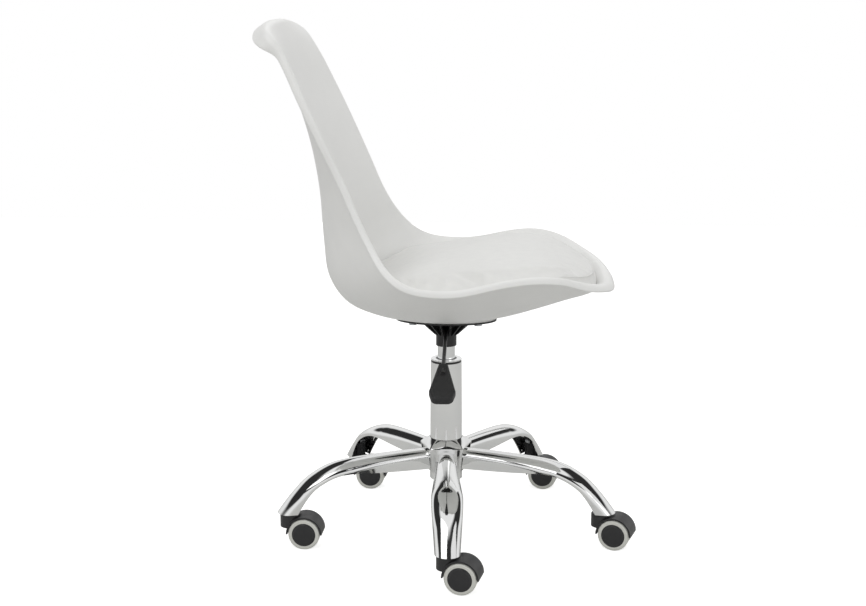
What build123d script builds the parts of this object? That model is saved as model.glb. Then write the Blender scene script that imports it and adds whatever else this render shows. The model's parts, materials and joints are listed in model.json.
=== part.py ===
"""Swivel office chair: bucket shell and cushion on a gas lift, five chrome legs and twin-wheel casters.

Frame: +X is the chair's front, +Y the sitter's left, +Z up. The origin is on the floor on the column's axis.
All sizes are millimetres.
"""
from build123d import *
import os
from math import cos, sin, radians

os.makedirs("parts", exist_ok=True)

# ---------------------------------------------------------------- driving dimensions

# legs: five pressed channels, open underneath
leg_angles = {"near": -86, "right": -14, "back_right": 58, "back_left": 130, "left": 202}
stem_circle = 260        # axis of the base to each caster stem
leg_wall = 2.0
leg_stations = [
    # crown's radius and height, tilt down, side height, half width: hub to toe
    (24, 140.4, 1, 31.5, 17.2),
    (42, 140.1, 1, 31, 17.4),
    (60, 139.7, 1.2, 30, 17.8),
    (80, 139.2, 1.4, 28.6, 18.5),
    (102, 138.5, 1.8, 26.8, 19.4),
    (125, 137.5, 3, 24.5, 20.6),
    (147, 136.2, 4.5, 21.5, 22),
    (167, 134.3, 8.5, 18.5, 23.4),
    (193, 128.6, 20, 15.5, 24.5),
    (217, 118, 34, 14.5, 24),
    (240, 102.8, 43, 15.5, 22.6),
    (262, 80.5, 49, 20, 20.6),
    (284, 53, 54, 26, 18.4),
]
leg_crown_round = 12.0
leg_inner_reach = 10.0   # how far the inside of a channel is cut below its edge
leg_inner_gap = 0.05

# casters
wheel_radius = 25.0
wheel_width = 15.0
wheel_gap = 11.0         # between the two wheels' inner faces
hub_disc_radius = 18.8
tread_width = 13.0
axle_radius = 4.0
axle_eye = 9.5           # radius of the web around the axle
axle_fit = 0.05          # radial running clearance of a wheel on its axle
axle_end_gap = 0.4
tread_round = 3.5
axle_sunk = 3.0          # how far each axle end stops short of the wheel's outer face
caster_trail = 23.0
caster_headings = {"near": -10, "right": -16, "back_right": -11, "back_left": -4, "left": -1}
hood_gap = 1.2           # between the wheel and the inside of the hood
hood_wall = 2.4
hood_half_width = 19.0
web_gap = 1.0            # each side of the housing's middle web
boss_radius = 17.0
boss_top = 55.0
boss_round = 2.0
boss_depth = 10.0        # how far the boss runs down into the hood
boss_lap = 6.0
web_drop = 2.0
web_reach = 0.5
edge_chamfer = 0.5
stem_chamfer = 0.8
hub_rim = 3.0            # width of the wheel hub's outer rim
hub_step = 1.0
hub_bevel = 1.5
hub_dish = 4.0           # thickness of the wheel's disc
hub_sleeve = 3.0
leg_clearance = 1.5      # from the boss to the end of the leg
stem_radius = 5.0
stem_fit = 0.05
stem_bottom = 36.0
stem_grip = 16.0         # length of the stem inside its socket
socket_wall = 3.5
socket_web = 6.0
socket_half = 12.0       # half width of the web across the channel
socket_gap = 1.8         # between the socket and the inside of the crown
socket_tab = 12.0
rivet_head_radius = 6.0
rivet_head = 2.5

# five-sided hub and column
hub_vertex_top = 43.0
hub_vertex_bottom = 38.0
hub_bottom = 97.0
hub_shoulder = 140.5
hub_collar = 157.0
hub_wall = 3.0
hub_corner = 6.0
column_radius_top = 25.0
column_radius_bottom = 26.0
column_wall = 2.2
column_bottom = 88.0
column_top = 283.0
column_floor = 4.0
bush_length = 75.0
bush_flange = 3.6
cap_height = 1.6
cap_bore = 17.0
bush_step = 0.6          # the bush's flange is set in from the tube

# gas lift
cylinder_radius = 14.0
cylinder_wall = 2.8
cylinder_top = 330.0
cylinder_cap = 8.0
cylinder_top_cap = 12.0
slide_fit = 0.06         # radial running clearance in the guide bush and in the cylinder
rod_radius = 4.0
rod_fit = 0.05
piston_height = 12.0
height_travel = 100.0
piston_spare = 10.0      # cylinder left below the piston at full height
clip_height = 2.0
clip_radius = 9.0
bearing_height = 8.0
bearing_radius = 13.0
bump_height = 16.0
bump_radius = 10.0
clip_gap = 0.3
bearing_gap = 0.2
slide_gap = 1.5          # from the bump stop to the cylinder at the lowest height
rod_tail = 3.0           # rod showing under the clip
pin_radius = 2.5
pin_fit = 0.05
pin_length = 16.0
pin_rise = 6.6           # pin standing above the cylinder
pin_chamfer = 0.5

# seat plate under the shell
plate_half_length = 80.5
plate_half_width = 45.0
plate_bottom = 351.5
plate_top = 354.0
sleeve_radius = 16.5
sleeve_bottom = 310.0
cone_bottom = 328.0
cone_radius = 42.0
rib_count = 16
rib_width = 2.2
rib_reach = 44.0
rib_step = 2.5           # how far a rib stands out from the sleeve at its foot
bolt_spacing_length = 104.0
bolt_spacing_width = 44.0
bolt_radius = 3.0
bolt_head_radius = 6.0
bolt_head_height = 3.0
washer_radius = 7.5
washer_height = 1.0
insert_radius = 4.8
insert_length = 11.0
insert_start = 2.0       # above the top of the plate
bolt_length = 15.0
boss_wall = 3.5
bolt_hole_gap = 0.4

# lever
lever_azimuth = -88.0
lever_slope = 7.2        # degrees down towards the hand
lever_radius = 3.0
lever_pivot_reach = 18.0
lever_reach = 172.0
lever_inner_end = 4.0    # past the column's axis
lever_touch = 0.3        # between the lever and the release pin
lever_lift = 10.0        # degrees
pivot_radius = 2.0
pivot_half = 9.0
pivot_fit = 0.05
pivot_end_gap = 0.5
slot_gap = 1.0
slot_bottom = 330.5
slot_length = 58.0
cavity_radius = 12.0
paddle_length = 78.0
paddle_slope = 26.0
paddle_half_neck = 7.4
paddle_half_wide = 20.0
paddle_thickness = 13.0
paddle_wide_at = 0.76    # share of the length where the paddle is widest
paddle_half_end = 15.0
paddle_corner = 10.0
paddle_edge = 4.0
paddle_socket = 24.0

# shell: stations along the centre line, front lip to the rolled top
shell_wall = 4.0
shell_floor = plate_top + shell_wall
seat_rim = 1.5           # the flat seat for the plate ends this far inside its rim
seat_thickness = 8.0
shell_stations = [
    # spine x, spine z, normal's angle, rise of the side, half width, fullness, lip outwards, lip drop
    (267, 410, 8, 2, 30, 2.0, 1, 1),
    (262, 421, 50, 4, 62, 2.0, 4, 6),
    (249, 422, 95, 11, 100, 2.2, 8, 11),
    (228, 411, 112, 36, 148, 2.3, 9, 11),
    (196, 400, 106, 60, 184, 2.1, 9, 10),
    (150, 384, 101, 78, 205, 2.0, 9, 9),
    (86, 366, 97, 91, 219, 2.0, 9, 8),
    (15, shell_floor, 90, 90, 227, 2.0, 9, 8),
    (-50, shell_floor, 84, 96, 224, 2.0, 9, 8),
    (-108, 367, 68, 110, 212, 2.05, 9, 8),
    (-155, 388, 54, 123, 197, 2.15, 9, 8),
    (-181, 424, 44, 119, 184, 2.1, 9, 8),
    (-189, 480, 38, 96, 173, 2.0, 9, 8),
    (-194, 560, 31, 66, 170, 1.95, 9, 9),
    (-206, 640, 29, 43, 175, 1.95, 9, 9),
    (-223, 706, 29, 30, 172, 2.0, 9, 10),
    (-237, 760, 31, 19, 160, 2.1, 9, 10),
    (-248, 796, 35, 9, 151, 2.1, 9, 9),
    (-257, 817, 60, 0, 144, 2.2, 8, 8),
    (-270, 828, 95, -12, 138, 2.4, 7, 8),
    (-284, 824, 130, -12, 133, 2.6, 4, 6),
    (-293, 813, 165, -10, 128, 2.8, 1, 3),
]
section_steps = 8        # spline points from the middle of a section to its crest

# cushion and its board
pad_centre = 45.0
pad_half_length = 195.0
pad_half_width = 203.0
pad_roundness = 2.3
pad_cut = 60.0           # depth cleared under the cushion
pad_gap = 1.0            # between the cushion and the shell
board_bottom = 392.0
board_height = 9.0
board_half_length = 112.0
board_half_width = 124.0
board_centre = 12.0
board_gap = 0.5
crown_line = [(-175, 424), (-100, 440), (0, 458), (90, 468), (170, 466), (222, 452), (243, 432)]


def polar(radius, angle):
    """A point at a radius and an angle in degrees."""
    return radius * cos(radians(angle)), radius * sin(radians(angle))


def oval(half_x, half_y, power, corners=32):
    """Points on a rounded rectangle, squarer as power grows."""
    points = []
    for step in range(corners):
        across, along = polar(1, 360 * step / corners)
        x = half_x * (1 if across > 0 else -1) * abs(across) ** (2 / power)
        y = half_y * (1 if along > 0 else -1) * abs(along) ** (2 / power)
        points.append((x, y))
    return points


def save(piece, name):
    """Label a finished piece and write it as its own file."""
    piece.part.label = name
    export_step(piece.part, f"parts/{name}.step")


# ---------------------------------------------------------------- hub and legs

def hub_block(inset, bottom, shoulder):
    """The five-sided flared cup as a solid, drawn in by inset, from bottom to shoulder."""
    with BuildPart() as block:
        for height, vertex in ((bottom, hub_vertex_bottom), (shoulder, hub_vertex_top)):
            with BuildSketch(Plane.XY.offset(height)):
                RegularPolygon(vertex - inset, 5, rotation=leg_angles["near"] + 36)
                fillet(vertices(), hub_corner - inset)
        loft()
    return block.part


def hub_form():
    """The cup with its bevel up to the column, still solid."""
    with BuildPart() as form:
        add(hub_block(0, hub_bottom, hub_shoulder))
        with BuildSketch(Plane.XY.offset(hub_shoulder)):
            RegularPolygon(hub_vertex_top, 5, rotation=leg_angles["near"] + 36)
            fillet(vertices(), hub_corner)
        with BuildSketch(Plane.XY.offset(hub_collar)):
            Circle(column_radius_bottom + hub_wall / 2)
        loft()
    return form.part


def column_form():
    """The column's outer form, a little wider at the bottom."""
    with BuildPart() as form:
        with BuildSketch(Plane.XZ):
            Polygon((0, column_bottom), (column_radius_bottom, column_bottom),
                    (column_radius_bottom, hub_collar), (column_radius_top, column_top),
                    (0, column_top), align=None)
        revolve(axis=Axis.Z)
    return form.part


def channel(inset, under):
    """One leg along +X as a filled solid, drawn in by inset, its walls reaching under below their edge."""
    with BuildPart() as body:
        for radius, height, tilt, side, half in leg_stations:
            along = Vector(cos(radians(tilt)), 0, -sin(radians(tilt)))
            with BuildSketch(Plane(origin=(radius, 0, height), x_dir=(0, 1, 0), z_dir=along)):
                middle = -inset - (side + under - inset) / 2
                with Locations((0, middle)):
                    Rectangle(2 * (half - inset), side + under - inset)
                fillet(vertices().group_by(Axis.Y)[-1], leg_crown_round - inset)
        loft()
    return body.part


toe_plane = boss_top + leg_clearance
hub_solid = hub_form()
column_solid = column_form()

with BuildPart() as base_hub:
    add(hub_solid)
    add(hub_block(hub_wall, hub_bottom, hub_shoulder - hub_wall), mode=Mode.SUBTRACT)
    add(column_solid, mode=Mode.SUBTRACT)
save(base_hub, "base_hub")

with BuildPart() as leg_form:
    add(channel(0, 0))
    add(channel(leg_wall, leg_inner_reach), mode=Mode.SUBTRACT)
    split(bisect_by=Plane.XY.offset(toe_plane), keep=Keep.TOP)

for place, angle in leg_angles.items():
    with BuildPart() as leg:
        add(leg_form.part.rotate(Axis.Z, angle))
        add(hub_solid, mode=Mode.SUBTRACT)
    save(leg, f"leg_{place}")


# ---------------------------------------------------------------- caster sockets and their rivets

toe_crown = Plane(origin=(leg_stations[-2][0], 0, leg_stations[-2][1]), x_dir=(0, 1, 0),
                  z_dir=(sin(radians(leg_stations[-2][2])), 0, cos(radians(leg_stations[-2][2]))))
rivet_plane = toe_crown.offset(-leg_wall - socket_gap)
socket_radius = stem_radius + socket_wall

with BuildPart() as socket_form:
    with BuildSketch(Plane.XY.offset(toe_plane)):
        with Locations((stem_circle, 0)):
            Circle(socket_radius)
            Rectangle(socket_web, 2 * socket_half)
    extrude(amount=stem_grip + 2 * socket_wall)
    split(bisect_by=rivet_plane, keep=Keep.BOTTOM)
    with BuildSketch(rivet_plane):
        with Locations((0, socket_tab / 2)):
            Rectangle(2 * rivet_head_radius, socket_tab + 2 * socket_radius)
    extrude(amount=-socket_web / 2)
    with BuildSketch(Plane.XY.offset(toe_plane)):
        with Locations((stem_circle, 0)):
            Circle(stem_radius)
    extrude(amount=stem_grip, mode=Mode.SUBTRACT)

with BuildPart() as caster_sockets:
    for angle in leg_angles.values():
        add(socket_form.part.rotate(Axis.Z, angle))
save(caster_sockets, "caster_sockets")

with BuildPart() as rivet_form:
    with BuildSketch(rivet_plane.offset(-socket_web / 2)):
        with Locations((0, socket_tab)):
            Circle(rivet_head_radius * 0.8)
    extrude(amount=-rivet_head)

with BuildPart() as socket_rivets:
    for angle in leg_angles.values():
        add(rivet_form.part.rotate(Axis.Z, angle))
save(socket_rivets, "socket_rivets")

# ---------------------------------------------------------------- column

with BuildPart() as column_tube:
    add(column_solid)
    with BuildSketch(Plane.XY.offset(column_bottom + column_floor)):
        Circle(column_radius_top - column_wall)
    extrude(amount=column_top - column_bottom, mode=Mode.SUBTRACT)
    with BuildSketch(Plane.XY.offset(column_bottom)):
        Circle(rod_radius + rod_fit)
    extrude(amount=column_floor, mode=Mode.SUBTRACT)
save(column_tube, "column_tube")

with BuildPart() as column_bush:
    with BuildSketch(Plane.XY.offset(column_top - bush_length)):
        Circle(column_radius_top - column_wall)
    extrude(amount=bush_length)
    with BuildSketch(Plane.XY.offset(column_top)):
        Circle(column_radius_top - bush_step)
    extrude(amount=bush_flange)
    with BuildSketch(Plane.XY.offset(column_top + bush_flange)):
        Circle(cap_bore)
    extrude(amount=cap_height)
    with BuildSketch(Plane.XY.offset(column_top - bush_length)):
        Circle(cylinder_radius + slide_fit)
    extrude(amount=bush_length + bush_flange + cap_height, mode=Mode.SUBTRACT)
save(column_bush, "column_bush")

with BuildPart() as column_cap:
    with BuildSketch(Plane.XY.offset(column_top + bush_flange)):
        Circle(column_radius_top)
        Circle(cap_bore, mode=Mode.SUBTRACT)
    extrude(amount=cap_height)
    fillet(edges().group_by(Axis.Z)[-1].sort_by(SortBy.RADIUS)[-1], cap_height / 2)
save(column_cap, "column_cap")

# ---------------------------------------------------------------- gas lift

with BuildPart() as column_clip:
    with BuildSketch(Plane.XY.offset(column_bottom - clip_height - clip_gap)):
        Circle(clip_radius)
        Circle(rod_radius, mode=Mode.SUBTRACT)
    extrude(amount=clip_height)
save(column_clip, "column_clip")

bearing_bottom = column_bottom + column_floor
with BuildPart() as thrust_bearing:
    with BuildSketch(Plane.XY.offset(bearing_bottom)):
        Circle(bearing_radius)
        Circle(rod_radius + rod_fit, mode=Mode.SUBTRACT)
    extrude(amount=bearing_height)
    with BuildSketch(Plane.XY.offset(bearing_bottom + bearing_height / 3)):
        Circle(bearing_radius)
        Circle(bearing_radius - 1.5, mode=Mode.SUBTRACT)
    extrude(amount=bearing_height / 3, mode=Mode.SUBTRACT)
save(thrust_bearing, "thrust_bearing")

bump_bottom = bearing_bottom + bearing_height + bearing_gap
with BuildPart() as bump_stop:
    with BuildSketch(Plane.XY.offset(bump_bottom)):
        Circle(bump_radius)
        Circle(rod_radius, mode=Mode.SUBTRACT)
    extrude(amount=bump_height)
    chamfer(edges().group_by(Axis.Z)[-1].sort_by(SortBy.RADIUS)[-1], bump_radius / 4)
save(bump_stop, "bump_stop")

cylinder_bottom = bump_bottom + bump_height + slide_gap
piston_bottom = cylinder_bottom + cylinder_cap + height_travel + piston_spare
cylinder_bore = cylinder_radius - cylinder_wall
with BuildPart() as piston_rod:
    with BuildSketch(Plane.XY.offset(column_bottom - clip_height - clip_gap - rod_tail)):
        Circle(rod_radius)
    extrude(amount=piston_bottom - column_bottom + clip_height + clip_gap + rod_tail)
    with BuildSketch(Plane.XY.offset(piston_bottom)):
        Circle(cylinder_bore - slide_fit)
    extrude(amount=piston_height)
save(piston_rod, "piston_rod")

with BuildPart() as gas_cylinder:
    with BuildSketch(Plane.XY.offset(cylinder_bottom)):
        Circle(cylinder_radius)
    extrude(amount=cylinder_top - cylinder_bottom)
    chamfer(edges().group_by(Axis.Z)[0], 1)
    with BuildSketch(Plane.XY.offset(cylinder_bottom + cylinder_cap)):
        Circle(cylinder_bore)
    extrude(amount=cylinder_top - cylinder_top_cap - cylinder_bottom - cylinder_cap, mode=Mode.SUBTRACT)
    with BuildSketch(Plane.XY.offset(cylinder_bottom)):
        Circle(rod_radius + rod_fit)
    extrude(amount=cylinder_cap, mode=Mode.SUBTRACT)
    with BuildSketch(Plane.XY.offset(cylinder_top - cylinder_top_cap)):
        Circle(pin_radius + pin_fit)
    extrude(amount=cylinder_top_cap, mode=Mode.SUBTRACT)
save(gas_cylinder, "gas_cylinder")

with BuildPart() as release_pin:
    with BuildSketch(Plane.XY.offset(cylinder_top + pin_rise - pin_length)):
        Circle(pin_radius)
    extrude(amount=pin_length)
    chamfer(edges().group_by(Axis.Z)[-1], pin_chamfer)
save(release_pin, "release_pin")

# ---------------------------------------------------------------- lever

lever_axis_height = cylinder_top + pin_rise + lever_touch + lever_radius
lever_out = Vector(*polar(1, lever_azimuth), 0)
slope_sin, slope_cos = sin(radians(lever_slope)), cos(radians(lever_slope))
lever_along = lever_out * slope_cos - Vector(0, 0, slope_sin)
lever_start = Vector(0, 0, lever_axis_height) - lever_along * lever_inner_end
lever_length = (lever_reach + lever_inner_end) / slope_cos
lever_end = lever_start + lever_along * lever_length
pivot_point = lever_out * lever_pivot_reach + Vector(0, 0, lever_axis_height - lever_pivot_reach
                                                     * slope_sin / slope_cos)
pivot_axis = Vector(*polar(1, lever_azimuth - 90), 0)

with BuildPart() as lever_rod:
    with BuildSketch(Plane(origin=lever_start, x_dir=pivot_axis, z_dir=lever_along)):
        Circle(lever_radius)
    extrude(amount=lever_length + paddle_socket)
    with BuildSketch(Plane(origin=pivot_point - pivot_axis * pivot_half, x_dir=lever_out, z_dir=pivot_axis)):
        Circle(pivot_radius)
    extrude(amount=2 * pivot_half)
save(lever_rod, "lever_rod")

paddle_along = lever_out * cos(radians(paddle_slope)) - Vector(0, 0, sin(radians(paddle_slope)))
paddle_up = pivot_axis.cross(paddle_along)
paddle_plane = Plane(origin=lever_end, x_dir=paddle_along, z_dir=paddle_up)
paddle_wide = paddle_length * paddle_wide_at
with BuildPart() as lever_handle:
    with BuildSketch(paddle_plane.offset(-paddle_thickness / 2)):
        Polygon((0, -paddle_half_neck), (paddle_wide, -paddle_half_wide), (paddle_length, -paddle_half_end),
                (paddle_length, paddle_half_end), (paddle_wide, paddle_half_wide), (0, paddle_half_neck),
                align=None)
        fillet(vertices().filter_by_position(Axis.X, paddle_wide - 1, paddle_length + 1), paddle_corner)
    extrude(amount=paddle_thickness)
    fillet(faces().filter_by(paddle_plane).edges().filter_by(
        lambda edge: paddle_plane.to_local_coords(edge.center()).X > 1), paddle_edge)
    add(lever_rod.part, mode=Mode.SUBTRACT)
save(lever_handle, "lever_handle")

# ---------------------------------------------------------------- seat plate

with BuildPart() as seat_plate:
    with BuildSketch(Plane.XY.offset(plate_bottom)):
        Ellipse(plate_half_length, plate_half_width)
    extrude(amount=plate_top - plate_bottom)
    with BuildSketch(Plane.XZ):
        with BuildLine():
            Polyline((0, plate_top), (cone_radius, plate_top), (cone_radius, plate_bottom))
            ThreePointArc((cone_radius, plate_bottom),
                          ((cone_radius + 2 * sleeve_radius) / 3, (cone_bottom + 2 * plate_bottom) / 3),
                          (sleeve_radius, cone_bottom))
            Polyline((sleeve_radius, cone_bottom), (sleeve_radius, sleeve_bottom), (0, sleeve_bottom),
                     (0, plate_top))
        make_face()
    revolve(axis=Axis.Z)
    for index in range(rib_count):
        turn = lever_azimuth + 360 * (index + 0.5) / rib_count
        side = Vector(*polar(1, turn), 0)
        with BuildSketch(Plane(origin=(0, 0, 0), x_dir=side, z_dir=side.cross(Vector(0, 0, 1)))):
            Polygon((cylinder_radius + 1, cone_bottom), (sleeve_radius + rib_step, cone_bottom),
                    (rib_reach, plate_bottom), (cylinder_radius + 1, plate_bottom), align=None)
        extrude(amount=rib_width / 2, both=True)
    with BuildSketch(Plane.XY.offset(sleeve_bottom)):
        Circle(cylinder_radius)
    extrude(amount=cylinder_top - sleeve_bottom, mode=Mode.SUBTRACT)
    with BuildSketch(Plane.XY.offset(cylinder_top)):
        Circle(cavity_radius)
    extrude(amount=plate_bottom - cylinder_top, mode=Mode.SUBTRACT)
    with BuildSketch(Plane.XY.offset(slot_bottom)):
        with Locations(Location((0, 0, 0), (0, 0, lever_azimuth))):
            with Locations((cone_radius / 2 + cavity_radius / 2, 0)):
                Rectangle(slot_length, 2 * (lever_radius + slot_gap))
    extrude(amount=plate_bottom - slot_bottom, mode=Mode.SUBTRACT)
    with BuildSketch(Plane.XY.offset(plate_bottom)):
        with GridLocations(bolt_spacing_length, bolt_spacing_width, 2, 2):
            Circle(bolt_radius + bolt_hole_gap)
    extrude(amount=plate_top - plate_bottom, mode=Mode.SUBTRACT)
    with BuildSketch(Plane(origin=pivot_point - pivot_axis * (pivot_half + pivot_end_gap),
                           x_dir=lever_out, z_dir=pivot_axis)):
        Circle(pivot_radius + pivot_fit)
    extrude(amount=2 * (pivot_half + pivot_end_gap), mode=Mode.SUBTRACT)
save(seat_plate, "seat_plate")

with BuildPart() as bolt_washers:
    with BuildSketch(Plane.XY.offset(plate_bottom - washer_height)):
        with GridLocations(bolt_spacing_length, bolt_spacing_width, 2, 2):
            Circle(washer_radius)
            Circle(bolt_radius + bolt_hole_gap, mode=Mode.SUBTRACT)
    extrude(amount=washer_height)
save(bolt_washers, "bolt_washers")

with BuildPart() as plate_bolts:
    with BuildSketch(Plane.XY.offset(plate_bottom - washer_height - bolt_head_height)):
        with GridLocations(bolt_spacing_length, bolt_spacing_width, 2, 2):
            Circle(bolt_head_radius)
    extrude(amount=bolt_head_height)
    with BuildSketch(Plane.XY.offset(plate_bottom - washer_height)):
        with GridLocations(bolt_spacing_length, bolt_spacing_width, 2, 2):
            Circle(bolt_radius)
    extrude(amount=bolt_length)
    with BuildSketch(Plane.XY.offset(plate_bottom - washer_height - bolt_head_height)):
        with GridLocations(bolt_spacing_length, bolt_spacing_width, 2, 2):
            RegularPolygon(bolt_radius, 6)
    extrude(amount=bolt_head_height / 2, mode=Mode.SUBTRACT)
save(plate_bolts, "plate_bolts")

with BuildPart() as threaded_inserts:
    with BuildSketch(Plane.XY.offset(plate_top + insert_start)):
        with GridLocations(bolt_spacing_length, bolt_spacing_width, 2, 2):
            Circle(insert_radius)
            Circle(bolt_radius, mode=Mode.SUBTRACT)
    extrude(amount=insert_length)
save(threaded_inserts, "threaded_inserts")

# ---------------------------------------------------------------- shell

def shell_points(station, lift):
    """One section of the shell's upper surface, lip to lip, in the section's own plane, raised by lift."""
    _, _, _, rise, half, fullness, lip_out, lip_drop = station
    points = []
    for step in range(-section_steps, section_steps + 1):
        share = step / section_steps
        points.append((half * share, rise * abs(share) ** fullness + lift))
    lip = (half + lip_out, rise - lip_drop + lift)
    return [(-lip[0], lip[1])] + points + [lip]


def shell_plane(station):
    """The plane of one section: x across the seat, y along the surface's normal."""
    x, z, angle = station[:3]
    normal = Vector(cos(radians(angle)), 0, sin(radians(angle)))
    return Plane(origin=(x, 0, z), x_dir=(0, 1, 0), z_dir=Vector(0, 1, 0).cross(normal))


def shell_loft(lift, depth):
    """A skin that follows the shell: its top raised by lift, its underside depth below that."""
    with BuildPart() as skin:
        for station in shell_stations:
            with BuildSketch(shell_plane(station)):
                with BuildLine():
                    upper = Spline(*shell_points(station, lift))
                    lower = Spline(*shell_points(station, lift - depth))
                    Line(upper @ 0, lower @ 0)
                    Line(upper @ 1, lower @ 1)
                make_face()
        loft()
    return skin.part


insert_boss = insert_radius + boss_wall
with BuildPart() as seat_shell:
    add(shell_loft(0, shell_wall))
    with BuildSketch(Plane.XY.offset(plate_top)):
        Ellipse(plate_half_length - seat_rim, plate_half_width - seat_rim)
    extrude(amount=seat_thickness)
    with BuildSketch(Plane.XY.offset(plate_top)):
        with GridLocations(bolt_spacing_length, bolt_spacing_width, 2, 2):
            Circle(insert_boss)
    extrude(amount=insert_start + insert_length + boss_wall)
    with BuildSketch(Plane.XY.offset(plate_top)):
        with GridLocations(bolt_spacing_length, bolt_spacing_width, 2, 2):
            Circle(insert_radius)
    extrude(amount=insert_start + insert_length, mode=Mode.SUBTRACT)
    with BuildSketch(Plane.XY.offset(plate_bottom)):
        Ellipse(plate_half_length + seat_rim, plate_half_width + seat_rim)
    extrude(amount=plate_top - plate_bottom, mode=Mode.SUBTRACT)
save(seat_shell, "seat_shell")

# ---------------------------------------------------------------- cushion

pad_rim = oval(pad_half_length, pad_half_width, pad_roundness)
board_rim = oval(board_half_length, board_half_width, pad_roundness)
with BuildPart() as cushion_board:
    with BuildSketch(Plane.XY.offset(board_bottom)):
        with BuildLine():
            Spline(*[(x + board_centre, y) for x, y in board_rim], periodic=True)
        make_face()
    extrude(amount=board_height)
save(cushion_board, "cushion_board")

with BuildPart() as cushion_block:
    with BuildSketch(Plane.XY.offset(board_bottom + board_height + board_gap)):
        with BuildLine():
            Spline(*[(x + pad_centre, y) for x, y in pad_rim], periodic=True)
        make_face()
    extrude(amount=crown_line[3][1] - board_bottom)
    with BuildSketch(Plane.XZ):
        with BuildLine():
            crown = Spline(*crown_line)
            Polyline(crown @ 0, (crown_line[0][0], board_bottom),
                     (crown_line[-1][0], board_bottom), crown @ 1)
        make_face()
    extrude(amount=pad_half_width, both=True, mode=Mode.INTERSECT)
    add(shell_loft(pad_gap, pad_cut), mode=Mode.SUBTRACT)
with BuildPart() as seat_cushion:
    add(cushion_block.part.solids().sort_by(SortBy.VOLUME)[-1])
save(seat_cushion, "seat_cushion")

# ---------------------------------------------------------------- casters

boss_floor = 2 * wheel_radius - boss_lap
hood_inner = wheel_radius + hood_gap
hood_outer = hood_inner + hood_wall
web_half = wheel_gap / 2 - web_gap
wheel_outer_face = wheel_gap / 2 + wheel_width
axle_plane = Plane(origin=(caster_trail, 0, wheel_radius), x_dir=(1, 0, 0), z_dir=(0, -1, 0))

with BuildPart() as housing_form:
    with BuildSketch(Plane.XY.offset(boss_floor - boss_depth)):
        Circle(boss_radius)
    extrude(amount=boss_top - boss_floor + boss_depth)
    fillet(edges().filter_by(GeomType.CIRCLE).group_by(Axis.Z)[-1], boss_round)
    # middle web, from the boss down around the axle
    with BuildSketch(axle_plane):
        with BuildLine():
            web_back = (boss_lap - caster_trail - boss_radius, boss_top - wheel_radius)
            Polyline(web_back, (0, boss_top - wheel_radius - web_drop), (hood_inner + web_reach, 0),
                     (0, -axle_eye), web_back)
        make_face()
        Circle(axle_eye)
    extrude(amount=web_half, both=True)
    # hood over the top and the trailing side of both wheels
    with BuildSketch(axle_plane):
        Circle(hood_outer)
        Circle(hood_inner, mode=Mode.SUBTRACT)
        with Locations((0, -hood_outer)):
            Rectangle(4 * hood_outer, 2 * hood_outer, mode=Mode.SUBTRACT)
    extrude(amount=hood_half_width, both=True)
    with BuildSketch(axle_plane):
        Circle(hood_outer)
        with Locations((0, -hood_outer + wheel_radius / 2)):
            Rectangle(4 * hood_outer, 2 * hood_outer, mode=Mode.SUBTRACT)
    extrude(amount=hood_half_width, both=True)
    # room for the wheels
    for side in (1, -1):
        with BuildSketch(axle_plane.offset(side * web_half)):
            Circle(hood_inner)
        extrude(amount=side * hood_half_width, mode=Mode.SUBTRACT)
    with BuildSketch(axle_plane):
        Circle(axle_radius)
    extrude(amount=wheel_gap, both=True, mode=Mode.SUBTRACT)
    with BuildSketch(Plane.XY.offset(stem_bottom)):
        Circle(stem_radius + stem_fit)
    extrude(amount=boss_top, mode=Mode.SUBTRACT)

with BuildPart() as axle_form:
    with BuildSketch(axle_plane):
        Circle(axle_radius)
    extrude(amount=wheel_outer_face - axle_sunk, both=True)
    chamfer(edges(), edge_chamfer)

cap_face = wheel_outer_face - axle_sunk + axle_end_gap
rim_inner = hub_disc_radius - hub_rim
hub_profile = [
    (0, cap_face), (0, wheel_outer_face), (rim_inner, wheel_outer_face),
    (rim_inner + hub_bevel, wheel_outer_face - hub_step), (hub_disc_radius, wheel_outer_face - hub_step),
    (hub_disc_radius, wheel_gap / 2 + hub_step), (rim_inner, wheel_gap / 2 + hub_step),
    (rim_inner, wheel_outer_face - hub_dish), (axle_radius + hub_sleeve, wheel_outer_face - hub_dish),
    (axle_radius + hub_sleeve, wheel_gap / 2), (axle_radius + axle_fit, wheel_gap / 2),
    (axle_radius + axle_fit, cap_face),
]
with BuildPart() as wheel_form:
    with BuildSketch(Plane.XY):
        Polygon(*hub_profile, align=None)
    revolve(axis=Axis.Y)

tread_inner = wheel_gap / 2 + (wheel_width - tread_width) / 2
with BuildPart() as tread_form:
    with BuildSketch(Plane.XY):
        Polygon((hub_disc_radius, tread_inner), (wheel_radius, tread_inner),
                (wheel_radius, tread_inner + tread_width), (hub_disc_radius, tread_inner + tread_width),
                align=None)
        fillet(vertices().group_by(Axis.X)[-1], tread_round)
    revolve(axis=Axis.Y)

with BuildPart() as stem_form:
    with BuildSketch(Plane.XY.offset(stem_bottom)):
        Circle(stem_radius)
    extrude(amount=toe_plane + stem_grip - stem_bottom)
    chamfer(edges().filter_by(GeomType.CIRCLE), stem_chamfer)

with BuildPart() as caster_stems:
    for angle in leg_angles.values():
        with Locations((*polar(stem_circle, angle), 0)):
            add(stem_form.part)
save(caster_stems, "caster_stems")

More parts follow.
